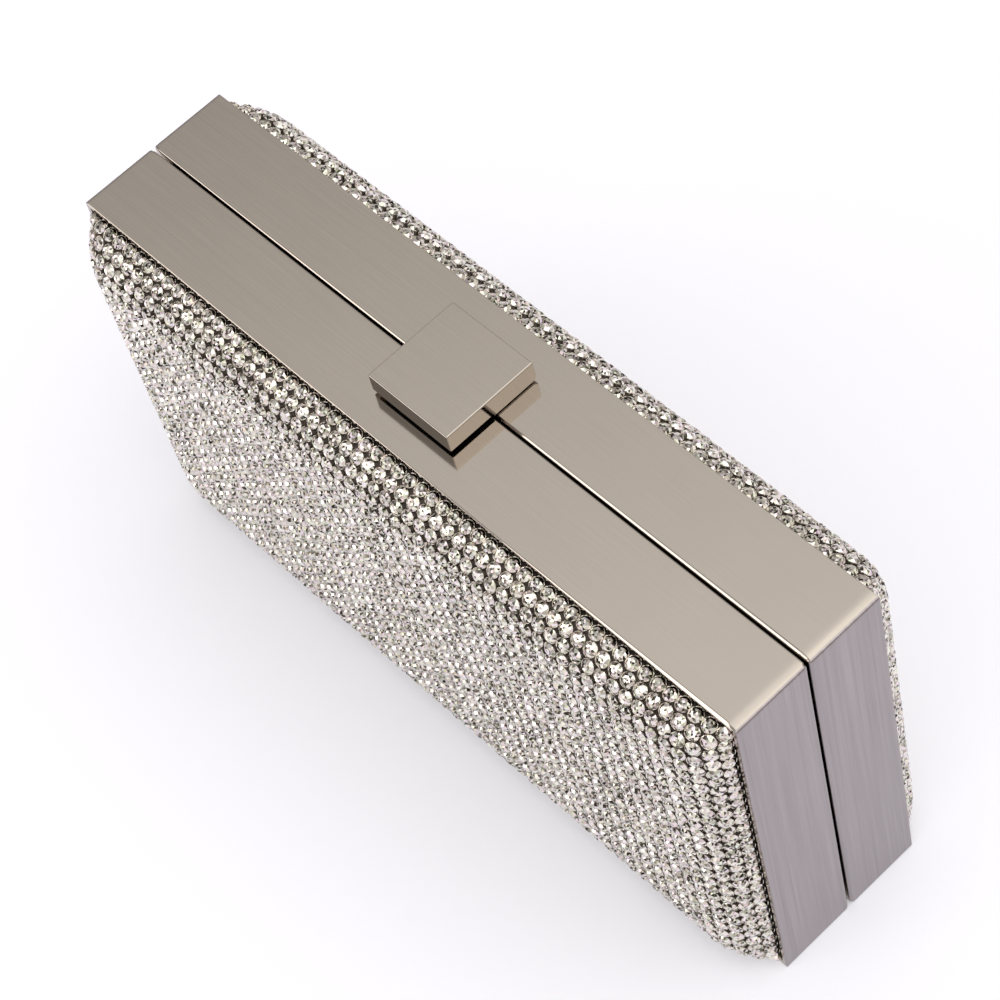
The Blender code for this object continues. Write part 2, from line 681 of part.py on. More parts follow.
front_pivot = make_pivot("front_pivot", (0.0, 0.0, hinge_z))
clasp_pivot = make_pivot("clasp_pivot", (0.0, pivot_y, pivot_z))

rear_band = frame_band("rear_frame_band", 1, pewter)
for rivet_word, rivet_x in rivet_places:
    cut_rod(rear_band, "band_rivet_hole_" + rivet_word, RIVET_RADIUS + RUNNING_GAP,
            (rivet_x, rivet_y, CASE_HEIGHT - BAND_WALL - OVERRUN),
            (rivet_x, rivet_y, CASE_HEIGHT + OVERRUN))
    base_rivet(rivet_word, rivet_x, steel)
domed_shell("rear_shell", 1, plastic)
crystal_panel("rear_crystal_mesh", 1, crystal)
lining_tray("rear_lining", 1, satin)
clasp_base(steel)

front_band = frame_band("front_frame_band", -1, pewter)
latch_half = TONGUE_WIDTH / 2 + NOTCH_SIDE_GAP
cut_box(front_band, "latch_notch", (-latch_half, -notch_reach, CASE_HEIGHT - lip_inset - OVERRUN),
        (latch_half, OVERRUN, CASE_HEIGHT + OVERRUN))
front_pieces = [front_band, catch_notch(domed_shell("front_shell", -1, plastic)),
                crystal_panel("front_crystal_mesh", -1, crystal),
                lining_tray("front_lining", -1, satin), spring_catch(spring)]

for hinge_word, hinge_x in hinge_places:
    hinge_leaf("rear_hinge_leaf_" + hinge_word, 1, hinge_x, steel)
    front_pieces.append(hinge_leaf("front_hinge_leaf_" + hinge_word, -1, hinge_x, steel))
    hinge_pin("hinge_pin_" + hinge_word, hinge_x, steel)

for piece in front_pieces:
    placed(piece, front_pivot)

clasp_pieces = [clasp_cover(pewter), clasp_pin(steel), clasp_tongue(steel)]
for screw_word, screw_x in screw_places:
    clasp_pieces.append(tongue_screw(screw_word, screw_x, steel))
for piece in clasp_pieces:
    placed(piece, clasp_pivot)
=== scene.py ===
# Hard box clutch: brushed metal frame, crystal mesh on both faces, square lift clasp
import json
import math
import random

import bmesh
import bpy
import numpy as np
from mathutils import Euler, Matrix, Vector
from mathutils import noise as unevenness

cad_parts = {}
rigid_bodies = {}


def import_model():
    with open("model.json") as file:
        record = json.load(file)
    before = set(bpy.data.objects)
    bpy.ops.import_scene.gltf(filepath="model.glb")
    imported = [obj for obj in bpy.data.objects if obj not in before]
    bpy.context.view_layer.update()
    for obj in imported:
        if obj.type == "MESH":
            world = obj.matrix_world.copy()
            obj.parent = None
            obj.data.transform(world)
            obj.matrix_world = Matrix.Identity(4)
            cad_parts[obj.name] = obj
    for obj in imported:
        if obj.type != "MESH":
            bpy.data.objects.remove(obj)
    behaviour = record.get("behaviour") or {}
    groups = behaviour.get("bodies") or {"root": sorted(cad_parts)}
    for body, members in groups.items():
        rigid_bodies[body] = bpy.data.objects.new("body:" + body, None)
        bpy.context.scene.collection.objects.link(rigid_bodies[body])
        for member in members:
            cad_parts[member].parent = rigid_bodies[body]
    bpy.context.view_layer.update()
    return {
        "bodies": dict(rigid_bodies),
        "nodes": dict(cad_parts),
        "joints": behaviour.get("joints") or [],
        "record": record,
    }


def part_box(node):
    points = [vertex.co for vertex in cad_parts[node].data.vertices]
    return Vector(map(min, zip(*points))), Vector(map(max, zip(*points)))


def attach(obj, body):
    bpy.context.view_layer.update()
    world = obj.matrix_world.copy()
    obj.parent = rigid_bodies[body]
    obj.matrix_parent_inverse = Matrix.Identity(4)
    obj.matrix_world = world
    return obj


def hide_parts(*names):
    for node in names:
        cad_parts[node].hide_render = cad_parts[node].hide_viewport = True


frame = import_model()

mm = 0.001
weld = 0.002 * mm
flatAngle = math.radians(1.0)
sharpAngle = math.radians(40.0)
edgeSteps = 3  # faces across a rounded edge
halves = {"rear": 1, "front": -1}  # the side of the seam on which each half lies

bodyOf = {node: body for body, nodes in frame["record"]["behaviour"]["bodies"].items() for node in nodes}
slotOf = {part["node"]: part["material_slot"] for part in frame["record"]["subparts"]}
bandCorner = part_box("rear_frame_band")[1]
halfWidth = bandCorner.x
halfDepth = bandCorner.y
caseHeight = bandCorner.z
halfHeight = caseHeight / 2
print("frame loaded", len(frame["nodes"]), "nodes")


# Shader nodes

floatKind = "NodeSocketFloat"


def nodeOf(tree, kind, values=None, **settings):  # values, or links from other nodes, go to its inputs
    node = tree.nodes.new(kind)
    for name, setting in settings.items():
        setattr(node, name, setting)
    for label, value in (values or {}).items():
        feed(tree, node.inputs[label], value)
    return node


def feed(tree, socket, value):
    if isinstance(value, bpy.types.NodeSocket):
        tree.links.new(value, socket)
    else:
        socket.default_value = value


def maths(tree, operation, *values):
    return nodeOf(tree, "ShaderNodeMath", dict(enumerate(values)), operation=operation).outputs[0]


def scaled(tree, value, least, spread):  # least where the value is 0, and more by the spread where it is 1
    return maths(tree, "ADD", least, maths(tree, "MULTIPLY", value, spread))


def swayed(tree, middle, value, spread):  # about the middle, as the value goes from 0 to 1
    return maths(tree, "ADD", middle, maths(tree, "MULTIPLY", maths(tree, "SUBTRACT", value, 0.5), spread))


def ranged(tree, value, source, target, **settings):  # one range of values taken to another
    limits = {"From Min": source[0], "From Max": source[1], "To Min": target[0], "To Max": target[1]}
    return nodeOf(tree, "ShaderNodeMapRange", {"Value": value, **limits}, **settings).outputs["Result"]


def chosen(tree, factor, first, second):  # one value or another, by a factor
    return nodeOf(tree, "ShaderNodeMix", {"Factor": factor, "A": first, "B": second},
                  data_type="FLOAT").outputs["Result"]


def shaded(tree, color, shade):  # a colour made lighter or darker by a value
    return nodeOf(tree, "ShaderNodeVectorMath", {"Vector": color, "Scale": shade},
                  operation="SCALE").outputs["Vector"]


def objectPlace(tree):
    return nodeOf(tree, "ShaderNodeTexCoord").outputs["Object"]


def stretched(tree, place, scale):
    return nodeOf(tree, "ShaderNodeMapping", {"Vector": place, "Scale": scale}).outputs["Vector"]


def noise(tree, place, settings):
    scale, detail, roughness = settings
    return nodeOf(tree, "ShaderNodeTexNoise", {
        "Vector": place, "Scale": scale, "Detail": detail, "Roughness": roughness}).outputs["Fac"]


def bumped(tree, height, strength, distance):
    return nodeOf(tree, "ShaderNodeBump", {
        "Height": height, "Strength": strength, "Distance": distance}).outputs["Normal"]


def newMaterial(name, color, roughness, metallic):
    material = bpy.data.materials.new(name)
    material.use_nodes = True
    shader = material.node_tree.nodes["Principled BSDF"]
    shader.inputs["Base Color"].default_value = (*color, 1.0)
    shader.inputs["Roughness"].default_value = roughness
    shader.inputs["Metallic"].default_value = metallic
    return material, material.node_tree, shader


# Camera, light and floor

shot = {
    "place": (0.3197971, -0.1755584, 0.5873680),
    "turn": (33.35228, 9.61763, 46.71225),  # degrees
    "lens": 112.54,
    "sensor": 36.0,
    "nearest": 0.01,
}


def makeCamera():
    data = bpy.data.cameras.new("photoCamera")
    data.lens = shot["lens"]
    data.sensor_width = shot["sensor"]
    data.sensor_fit = "HORIZONTAL"
    data.clip_start = shot["nearest"]
    camera = bpy.data.objects.new("photoCamera", data)
    camera.location = shot["place"]
    camera.rotation_euler = Euler([math.radians(angle) for angle in shot["turn"]], "XYZ")
    bpy.context.scene.collection.objects.link(camera)
    bpy.context.scene.camera = camera


studio = {
    "lights": (
        # towards the light, cosines at its rim and at its full strength, strength, colour
        ((0.20, -0.10, 0.97), (0.366, 0.931), 1.20, (0.975, 1.0, 0.975)),  # wide softbox overhead
        ((0.25, 0.20, 0.945), (0.80, 0.93), 0.55, (1.0, 0.97, 0.89)),  # warm lamp inside it
        ((-0.36, -0.88, 0.28), (0.935, 0.990), 1.45, (1.0, 0.95, 0.92)),  # card at the front
        ((-0.47, -0.78, 0.41), (0.93, 0.975), 1.50, (1.0, 0.96, 0.92)),  # card above it, for the clasp's edge
    ),
    "flagWay": (-0.45, -0.50, 0.74),  # a dark flag at the front left, which the clasp mirrors
    "flagEdge": (0.84, 0.95),
    "flagShade": 0.44,
    "roomColor": (1.04, 0.98, 0.955),
    "roomStrength": 0.36,
    "horizonStrength": 0.62,  # the pale walls low down
    "horizonPower": 3.0,
    "diffuseShare": 0.84,  # of the light that mirrors get
    "floorSize": 3.0,
    "floorColor": (0.83, 0.825, 0.90),
    "floorRough": 0.9,
    "floorShine": 0.1,
    "floorLift": 0.235,  # its own light, where it is seen directly or in a mirror
    "floorDrop": 0.036,  # how far the floor sinks as the front half swings down past its level
}


def lobe(tree, way, center, edge, levels):  # a patch of the sky, from the level around it to that inside
    toward = nodeOf(tree, "ShaderNodeVectorMath", {0: way, 1: Vector(center).normalized()},
                    operation="DOT_PRODUCT")
    return ranged(tree, toward.outputs["Value"], edge, levels, interpolation_type="SMOOTHSTEP")


def glow(tree, color, strength):
    return nodeOf(tree, "ShaderNodeBackground", {"Color": (*color, 1.0), "Strength": strength}).outputs[0]


def makeWorld():
    world = bpy.data.worlds.new("softStudio")
    bpy.context.scene.world = world
    world.use_nodes = True
    tree = world.node_tree
    tree.nodes.clear()
    way = nodeOf(tree, "ShaderNodeTexCoord").outputs["Generated"]
    height = nodeOf(tree, "ShaderNodeSeparateXYZ", {0: way}).outputs["Z"]
    low = maths(tree, "POWER", maths(tree, "SUBTRACT", 1.0, maths(tree, "ABSOLUTE", height)),
                studio["horizonPower"])
    walls = scaled(tree, low, studio["roomStrength"], studio["horizonStrength"])
    path = nodeOf(tree, "ShaderNodeLightPath").outputs
    mirror = maths(tree, "MAXIMUM", path["Is Glossy Ray"], path["Is Transmission Ray"])
    level = scaled(tree, mirror, studio["diffuseShare"], 1 - studio["diffuseShare"])
    flag = lobe(tree, way, studio["flagWay"], studio["flagEdge"], (1.0, studio["flagShade"]))
    level = maths(tree, "MULTIPLY", level, flag)
    total = glow(tree, studio["roomColor"], maths(tree, "MULTIPLY", walls, level))
    for center, edge, strength, color in studio["lights"]:
        patch = lobe(tree, way, center, edge, (0.0, strength))
        light = glow(tree, color, maths(tree, "MULTIPLY", patch, level))
        total = nodeOf(tree, "ShaderNodeAddShader", {0: total, 1: light}).outputs[0]
    white = glow(tree, (1.0, 1.0, 1.0), 1.0)
    shown = nodeOf(tree, "ShaderNodeMixShader", {0: path["Is Camera Ray"], 1: total, 2: white})
    nodeOf(tree, "ShaderNodeOutputWorld", {"Surface": shown.outputs[0]})


def floorMaterial():
    material, tree, shader = newMaterial("paleFloor", studio["floorColor"], studio["floorRough"], 0.0)
    path = nodeOf(tree, "ShaderNodeLightPath").outputs
    seen = maths(tree, "MAXIMUM", path["Is Camera Ray"], path["Is Glossy Ray"])
    seen = maths(tree, "MAXIMUM", seen, path["Is Transmission Ray"])
    feed(tree, shader.inputs["Specular IOR Level"], studio["floorShine"])
    feed(tree, shader.inputs["Emission Color"], (1.0, 1.0, 1.0, 1.0))
    feed(tree, shader.inputs["Emission Strength"], maths(tree, "MULTIPLY", seen, studio["floorLift"]))
    below = nodeOf(tree, "ShaderNodeNewGeometry").outputs["Backfacing"]
    clear = nodeOf(tree, "ShaderNodeBsdfTransparent").outputs[0]
    surface = nodeOf(tree, "ShaderNodeMixShader", {0: below, 1: shader.outputs[0], 2: clear})
    feed(tree, tree.nodes["Material Output"].inputs["Surface"], surface.outputs[0])
    return material


def makeFloor():  # clear when seen from below, so that the bag's base shows
    bm = bmesh.new()
    bmesh.ops.create_grid(bm, x_segments=8, y_segments=8, size=studio["floorSize"])
    floor = plainObject(bm, "floor")
    floor.data.materials.append(floorMaterial())
    opening = next(joint for joint in frame["joints"] if joint["name"] == "front_open")
    sink = floor.constraints.new("TRANSFORM")  # an opened bag is held up, so the floor gives way under it
    sink.target = frame["bodies"]["front_half"]
    sink.map_from = "ROTATION"
    sink.map_to = "LOCATION"
    sink.map_to_z_from = "X"
    sink.from_max_x_rot = math.radians(opening["range_deg"][1])
    sink.to_max_z = -studio["floorDrop"]


def plainObject(bm, name):
    mesh = bpy.data.meshes.new(name)
    bm.to_mesh(mesh)
    bm.free()
    item = bpy.data.objects.new(name, mesh)
    bpy.context.scene.collection.objects.link(item)
    return item


makeCamera()
makeWorld()
makeFloor()
print("camera, light and floor")


# Shared effects

grain = {
    "stretch": 0.012,  # along the strokes the noise is this much coarser
    "along": (4200.0, 3.0, 0.6),  # scale, detail and roughness of a noise
    "upright": (1100.0, 4.0, 0.7),
    "cloud": (60.0, 2.0, 0.5),
    "cloudShade": 0.05,
    "roughSpread": 0.12,
    "stroke": 0.01 * mm,
}
paintedFire = {
    "paintedTones": (  # a facet's chance value, and the tone painted on it, dark to white, in place of the light that the stone mirrors and bends
        (0.0, (0.02, 0.016, 0.012)),
        (0.12, (0.11, 0.092, 0.07)),
        (0.24, (0.40, 0.35, 0.29)),
        (0.40, (0.78, 0.72, 0.635)),
        (0.56, (1.0, 0.965, 0.89)),
        (1.0, (1.0, 1.0, 0.96)),
    ),
    # share of a random colour in the painted sparkle
    "paintedTint": 0.20,
    "clear": (0.765, 0.14),  # the dullest stone, and how much clearer the clearest is; this scales the painted sparkle
    "rough": (0.03, 0.05),
}
weave = {
    "waver": 0.6,
    "detail": 1.0,
    "weft": 0.4,  # height of the weft threads beside the warp
    "cloud": (45.0, 3.0, 0.5),
    "shade": (0.85, 0.3),
    "bump": 0.25,
    "thread": 0.04 * mm,
}


def newGroup(name, inputs, outputs):
    tree = bpy.data.node_groups.new(name, "ShaderNodeTree")
    for label, value in inputs.items():
        socket = tree.interface.new_socket(label, in_out="INPUT", socket_type=floatKind)
        socket.default_value = value
    for label, kind in outputs.items():
        tree.interface.new_socket(label, in_out="OUTPUT", socket_type=kind)
    return tree, nodeOf(tree, "NodeGroupInput").outputs, nodeOf(tree, "NodeGroupOutput").inputs


def brushedGrain():
    tree, given, result = newGroup("brushedGrain", {"Ends": 0.0, "Depth": 0.5, "Rough": 0.2, "Spread": 0.1},
                                   {"Shade": floatKind, "Roughness": floatKind, "Normal": "NodeSocketVector"})
    place = objectPlace(tree)
    along = noise(tree, stretched(tree, place, (grain["stretch"], 1.0, 1.0)), grain["along"])
    upright = noise(tree, stretched(tree, place, (1.0, 1.0, grain["stretch"])), grain["upright"])
    streak = chosen(tree, given["Ends"], along, upright)
    shade = swayed(tree, 1.0, streak, given["Spread"])
    feed(tree, result["Shade"], swayed(tree, shade, noise(tree, place, grain["cloud"]), grain["cloudShade"]))
    feed(tree, result["Roughness"], swayed(tree, given["Rough"], streak, grain["roughSpread"]))
    feed(tree, result["Normal"], bumped(tree, streak, given["Depth"], grain["stroke"]))
    return tree


# painted sparkle: each facet gets a random tone from dark to white, and a little random colour, for the light
# that a real stone would flash
def paintedStoneFire():
    tree, given, result = newGroup("paintedStoneFire", {"Facet": 0.0, "Stone": 0.0},
                                   {"Color": "NodeSocketColor", "Roughness": floatKind})
    pair = nodeOf(tree, "ShaderNodeCombineXYZ", {"X": given["Facet"], "Y": given["Stone"]}).outputs[0]
    chance = nodeOf(tree, "ShaderNodeTexWhiteNoise", {"Vector": pair}, noise_dimensions="3D").outputs
    paintedTone = nodeOf(tree, "ShaderNodeValToRGB", {"Fac": chance["Value"]})
    ramp = paintedTone.color_ramp
    while len(ramp.elements) < len(paintedFire["paintedTones"]):
        ramp.elements.new(0.5)
    for element, (position, color) in zip(ramp.elements, paintedFire["paintedTones"]):
        element.position = position
        element.color = (*color, 1.0)
    paintedTint = nodeOf(tree, "ShaderNodeMix", {
        "Factor": paintedFire["paintedTint"], "A": paintedTone.outputs["Color"], "B": chance["Color"],
    }, data_type="RGBA", blend_type="MULTIPLY").outputs["Result"]
    each = nodeOf(tree, "ShaderNodeTexWhiteNoise", {"W": given["Stone"]}, noise_dimensions="1D")
    clearness = scaled(tree, each.outputs["Value"], *paintedFire["clear"])
    feed(tree, result["Color"], shaded(tree, paintedTint, clearness))
    feed(tree, result["Roughness"], scaled(tree, chance["Value"], *paintedFire["rough"]))
    return tree


def satinWeave():
    tree, given, result = newGroup("satinWeave", {"Fineness": 1500.0},
                                   {"Shade": floatKind, "Normal": "NodeSocketVector"})
    place = objectPlace(tree)
    warp, weft = (nodeOf(tree, "ShaderNodeTexWave", {
        "Vector": place, "Scale": given["Fineness"], "Distortion": weave["waver"], "Detail": weave["detail"],
    }, wave_type="BANDS", bands_direction=axis).outputs["Fac"] for axis in "XZ")
    threads = scaled(tree, weft, warp, weave["weft"])
    feed(tree, result["Shade"], scaled(tree, noise(tree, place, weave["cloud"]), *weave["shade"]))
    feed(tree, result["Normal"], bumped(tree, threads, weave["bump"], weave["thread"]))
    return tree


grainGroup = brushedGrain()
paintedFireGroup = paintedStoneFire()
weaveGroup = satinWeave()


# Materials

metal = {
    "color": (0.425, 0.378, 0.335),
    "paintedEndShade": (0.316, 0.281, 0.286),  # painted shade: the ends, brushed up and down, get a darker and cooler colour than the top, for the floor that they mirror
    "endSkin": 0.6 * mm,
    "rough": 0.11,
    "endRough": 0.24,
    "depth": 0.28,
    "spread": (0.28, 0.08),  # how strong the grain is at the left and at the right
    "endSpread": 0.8,
}
plated = {"depth": 0.25, "spread": 0.2}
board = {"speckle": (2500.0, 2.0, 0.5), "shade": (0.7, 0.6), "bump": 0.3, "pits": 0.05 * mm}
satin = {"color": (0.035, 0.035, 0.042), "rough": 0.33, "fineness": 900.0, "sheen": 0.5, "sheenRough": 0.35}
glass = {"color": (0.9, 0.89, 0.86), "rough": 0.05}


def grained(tree, shader, color, **values):  # the brushed grain on a metal
    strokes = nodeOf(tree, "ShaderNodeGroup", values, node_tree=grainGroup).outputs
    feed(tree, shader.inputs["Base Color"], shaded(tree, color, strokes["Shade"]))
    feed(tree, shader.inputs["Roughness"], strokes["Roughness"])
    feed(tree, shader.inputs["Normal"], strokes["Normal"])


def brushedPewter():
    material, tree, shader = newMaterial("brushedPewter", metal["color"], metal["rough"], 1.0)
    x = nodeOf(tree, "ShaderNodeSeparateXYZ", {0: objectPlace(tree)}).outputs["X"]
    ends = maths(tree, "GREATER_THAN", maths(tree, "ABSOLUTE", x), halfWidth - metal["endSkin"])
    # the grain's strength, stronger towards the left end
    grainAcross = ranged(tree, x, (-halfWidth, halfWidth), metal["spread"])
    # painted shade: the end faces take the darker end colour
    color = nodeOf(tree, "ShaderNodeMix", {
        "Factor": ends, "A": (*metal["color"], 1.0), "B": (*metal["paintedEndShade"], 1.0),
    }, data_type="RGBA").outputs["Result"]
    grained(tree, shader, color, Ends=ends, Depth=metal["depth"],
            Rough=chosen(tree, ends, metal["rough"], metal["endRough"]),
            Spread=chosen(tree, ends, grainAcross, metal["endSpread"]))
    return material


def platedSteel(name, color, rough):
    material, tree, shader = newMaterial(name, color, rough, 1.0)
    grained(tree, shader, color, Ends=0.0, Depth=plated["depth"], Rough=rough, Spread=plated["spread"])
    return material


def crystalStone():
    material, tree, shader = newMaterial("crystalStone", glass["color"], glass["rough"], 1.0)
    facet = nodeOf(tree, "ShaderNodeAttribute", attribute_name="facet").outputs["Fac"]
    stone = nodeOf(tree, "ShaderNodeAttribute", attribute_name="stone").outputs["Fac"]
    paintedFlash = nodeOf(tree, "ShaderNodeGroup", {"Facet": facet, "Stone": stone}, node_tree=paintedFireGroup).outputs
    # the facets' base colour is the painted sparkle
    feed(tree, shader.inputs["Base Color"], paintedFlash["Color"])
    feed(tree, shader.inputs["Roughness"], paintedFlash["Roughness"])
    return material


def moulded(name, color, rough):
    material, tree, shader = newMaterial(name, color, rough, 0.0)
    speckle = noise(tree, objectPlace(tree), board["speckle"])
    shade = scaled(tree, speckle, *board["shade"])
    feed(tree, shader.inputs["Base Color"], shaded(tree, color, shade))
    feed(tree, shader.inputs["Normal"], bumped(tree, speckle, board["bump"], board["pits"]))
    return material


def liningSatin():
    material, tree, shader = newMaterial("liningSatin", satin["color"], satin["rough"], 0.0)
    threads = nodeOf(tree, "ShaderNodeGroup", {"Fineness": satin["fineness"]}, node_tree=weaveGroup).outputs
    feed(tree, shader.inputs["Base Color"], shaded(tree, satin["color"], threads["Shade"]))
    feed(tree, shader.inputs["Normal"], threads["Normal"])
    feed(tree, shader.inputs["Sheen Weight"], satin["sheen"])
    feed(tree, shader.inputs["Sheen Roughness"], satin["sheenRough"])
    return material


pewter = brushedPewter()
cupMetal = platedSteel("cupMetal", (0.74, 0.69, 0.63), 0.32)
stoneGlass = crystalStone()
meshBoard = moulded("meshBacking", (0.080, 0.064, 0.054), 0.5)
liningCover = liningSatin()
cadFinish = {
    "hinge_steel": platedSteel("hingeSteel", (0.52, 0.50, 0.47), 0.28),
    "spring_steel": platedSteel("springSteel", (0.36, 0.36, 0.37), 0.26),
    "shell_board": moulded("shellBoard", (0.10, 0.10, 0.10), 0.55),
}
print("materials")


# Metal pieces: the bands from the solids, with crisp corners and folded edges, and the clasp's block

def pieceFrom(bm, name, material, body):
    piece = plainObject(bm, name)
    piece.data.materials.append(material)
    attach(piece, body)
    return piece


def mergedCopy(node):
    bm = bmesh.new()
    bm.from_mesh(frame["nodes"][node].data)
    bmesh.ops.remove_doubles(bm, verts=bm.verts[:], dist=weld)
    bmesh.ops.dissolve_limit(bm, angle_limit=flatAngle, verts=bm.verts[:], edges=bm.edges[:])
    return bm


def isSharp(edge):
    return len(edge.link_faces) == 2 and edge.calc_face_angle() > sharpAngle


def rounded(bm, geometry, width, steps, clamped):
    bmesh.ops.bevel(bm, geom=geometry, offset=width, segments=steps, profile=0.5, affect="EDGES",
                    material=-1, clamp_overlap=clamped)
    bm.normal_update()


def finishedMetal(bm, node, name):
    bm.normal_update()
    for face in bm.faces:
        face.smooth = True
    for edge in bm.edges:
        edge.smooth = not isSharp(edge)
    piece = pieceFrom(bm, name, pewter, bodyOf[node])
    normals = piece.modifiers.new("evenShading", "WEIGHTED_NORMAL")
    normals.keep_sharp = True
    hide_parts(node)


band = {
    "corner": 1.2 * mm,  # the solid's corner arc, which is drawn out to a crisp corner here
    "seamRound": 0.7 * mm,  # the solid's rounding along the seam, kept at the ends only
    "edge": 0.14 * mm,
    "seam": 0.3 * mm,
    "fold": (0.08 * mm, 0.68 * mm),  # the folded front edge at the left end and at the right end
    "foldPower": 3.5,  # it widens late, near the right end
    "foldStations": (-0.2, 0.1, 0.35, 0.55, 0.72, 0.87),  # shares of the half width
    "seamFold": (0.30 * mm, 0.62 * mm),  # the rear band's seam edge at the left end and at the right end
    "frontSeamFold": 0.15 * mm,
    "endReach": (0.7 * mm, 3.2 * mm),  # how far from the left end and the right end the top falls off
    "endSlope": 0.15,
    "endLoops": (1.8 * mm, 2.4 * mm, 3.2 * mm),
    "relief": 1.6 * mm,  # the bevel under the seam: distance from the seam plus height above the base
    "reliefSlack": 0.03 * mm,
    "reliefTop": 1.5 * mm,  # below this height, and nearer to the seam than reliefWide, no edge is rounded
    "reliefWide": 2.5 * mm,
}


def drawnOut(vert):
    top = vert.co.z > halfHeight
    u = abs(vert.co.x) - (halfWidth - band["corner"])
    v = abs(vert.co.z - halfHeight) - (halfHeight - band["corner"])
    if u > weld and v > weld:
        spread = math.hypot(u, v) / max(u, v)  # from the arc out to the square around it
        onRelief = abs(abs(vert.co.y) + vert.co.z - band["relief"]) < band["reliefSlack"]
        vert.co.x = math.copysign(halfWidth - band["corner"] + u * spread, vert.co.x)
        rise = halfHeight - band["corner"] + v * spread
        vert.co.z = halfHeight + (rise if top else -rise)
        if onRelief:
            vert.co.y = math.copysign(band["relief"] - vert.co.z, vert.co.y)
    u = band["seam"] + band["seamRound"] - abs(vert.co.y)
    v = vert.co.z - (caseHeight - band["seamRound"])
    if u > weld and v > weld and abs(vert.co.x) < halfWidth - band["corner"] - weld:
        fold = reachAt(vert.co.x, band["seamFold"]) if vert.co.y > 0 else band["frontSeamFold"]
        across, rise = (0.0, -fold) if u > v else (fold, 0.0)
        vert.co.y = math.copysign(band["seam"] + across, vert.co.y)
        vert.co.z = caseHeight + rise


def reachAt(x, reach, power=1.0):  # grows from the left end to the right end
    return reach[0] + (reach[1] - reach[0]) * ((x + halfWidth) / (2 * halfWidth)) ** power


def leaning(vert):  # the top turns down along its front edge and falls off towards its ends
    if vert.co.z < caseHeight - band["seamRound"]:
        return
    reach = reachAt(vert.co.x, band["endReach"])
    near = max(0.0, 1.0 - (halfWidth - abs(vert.co.x)) / reach)
    foldHere = reachAt(vert.co.x, band["fold"], band["foldPower"])
    fold = 0.0
    fromEdge = vert.co.y + halfDepth
    if fromEdge < weld:
        fold = foldHere * (1 - near ** 2)
    elif abs(fromEdge - band["fold"][1]) < weld:
        vert.co.y = foldHere - halfDepth
    vert.co.z -= max(fold, band["endSlope"] * reach / 2 * near ** 2)


def frameBand(half, side):
    node = half + "_frame_band"
    bm = mergedCopy(node)
    cuts = [((share * halfWidth, 0.0, 0.0), (1.0, 0.0, 0.0)) for share in band["foldStations"]]
    if side < 0:
        cuts.append(((0.0, band["fold"][1] - halfDepth, 0.0), (0.0, 1.0, 0.0)))
    for reach in band["endLoops"]:
        cuts += [((sign * (halfWidth - reach), 0.0, 0.0), (1.0, 0.0, 0.0)) for sign in (-1, 1)]
    for place, normal in cuts:
        bmesh.ops.bisect_plane(bm, geom=bm.verts[:] + bm.edges[:] + bm.faces[:], dist=weld,
                               plane_co=place, plane_no=normal)
    for vert in bm.verts:
        drawnOut(vert)
        leaning(vert)
    bm.normal_update()
    sharp = []
    for edge in bm.edges:
        middle = (edge.verts[0].co + edge.verts[1].co) / 2
        nearRelief = middle.z < band["reliefTop"] and abs(middle.y) < band["reliefWide"]
        if isSharp(edge) and not nearRelief:
            sharp.append(edge)
    rounded(bm, sharp, band["edge"], edgeSteps, clamped=False)
    finishedMetal(bm, node, half + "_band")


clasp = {
    "edge": 0.3 * mm,
    "wall": 1.2 * mm,
    "beam": 2.6 * mm,  # the solid bar along the back, which the pin goes through
    "frontGap": 1.1 * mm,
    "eyeSpread": 12.0 * mm,
    "slotWidth": 2.6 * mm,
    "slotTop": 3.05 * mm,  # above the case
    "runningGap": 0.15 * mm,
    "overrun": 1.0 * mm,  # how far the cutters stand out of the block
    "heelSteps": 8,
    "rodSides": 24,
}


def boxMesh(low, high):
    low, high = Vector(low), Vector(high)
    bm = bmesh.new()
    bmesh.ops.create_cube(bm, size=1.0)
    bmesh.ops.scale(bm, vec=high - low, verts=bm.verts[:])
    bmesh.ops.translate(bm, vec=(low + high) / 2, verts=bm.verts[:])
    return bm


def rodMesh(center, radius, length, lying):
    bm = bmesh.new()
    bmesh.ops.create_cone(bm, cap_ends=True, segments=clasp["rodSides"], radius1=radius, radius2=radius,
                          depth=length)
    if lying:
        bmesh.ops.rotate(bm, verts=bm.verts[:], cent=(0.0, 0.0, 0.0),
                         matrix=Matrix.Rotation(math.pi / 2, 3, "Y"))
    bmesh.ops.translate(bm, vec=center, verts=bm.verts[:])
    return bm


def cutAway(bm, cutters):
    blank = plainObject(bm, "blank")
    tools = [plainObject(cutter, "cutter") for cutter in cutters]
    for tool in tools:
        cut = blank.modifiers.new("cut", "BOOLEAN")
        cut.operation = "DIFFERENCE"
        cut.object = tool
    bpy.context.view_layer.update()
    whole = blank.evaluated_get(bpy.context.evaluated_depsgraph_get())
    result = bmesh.new()
    result.from_mesh(whole.to_mesh())
    whole.to_mesh_clear()
    for item in [blank] + tools:
        bpy.data.objects.remove(item, do_unlink=True)
    return result


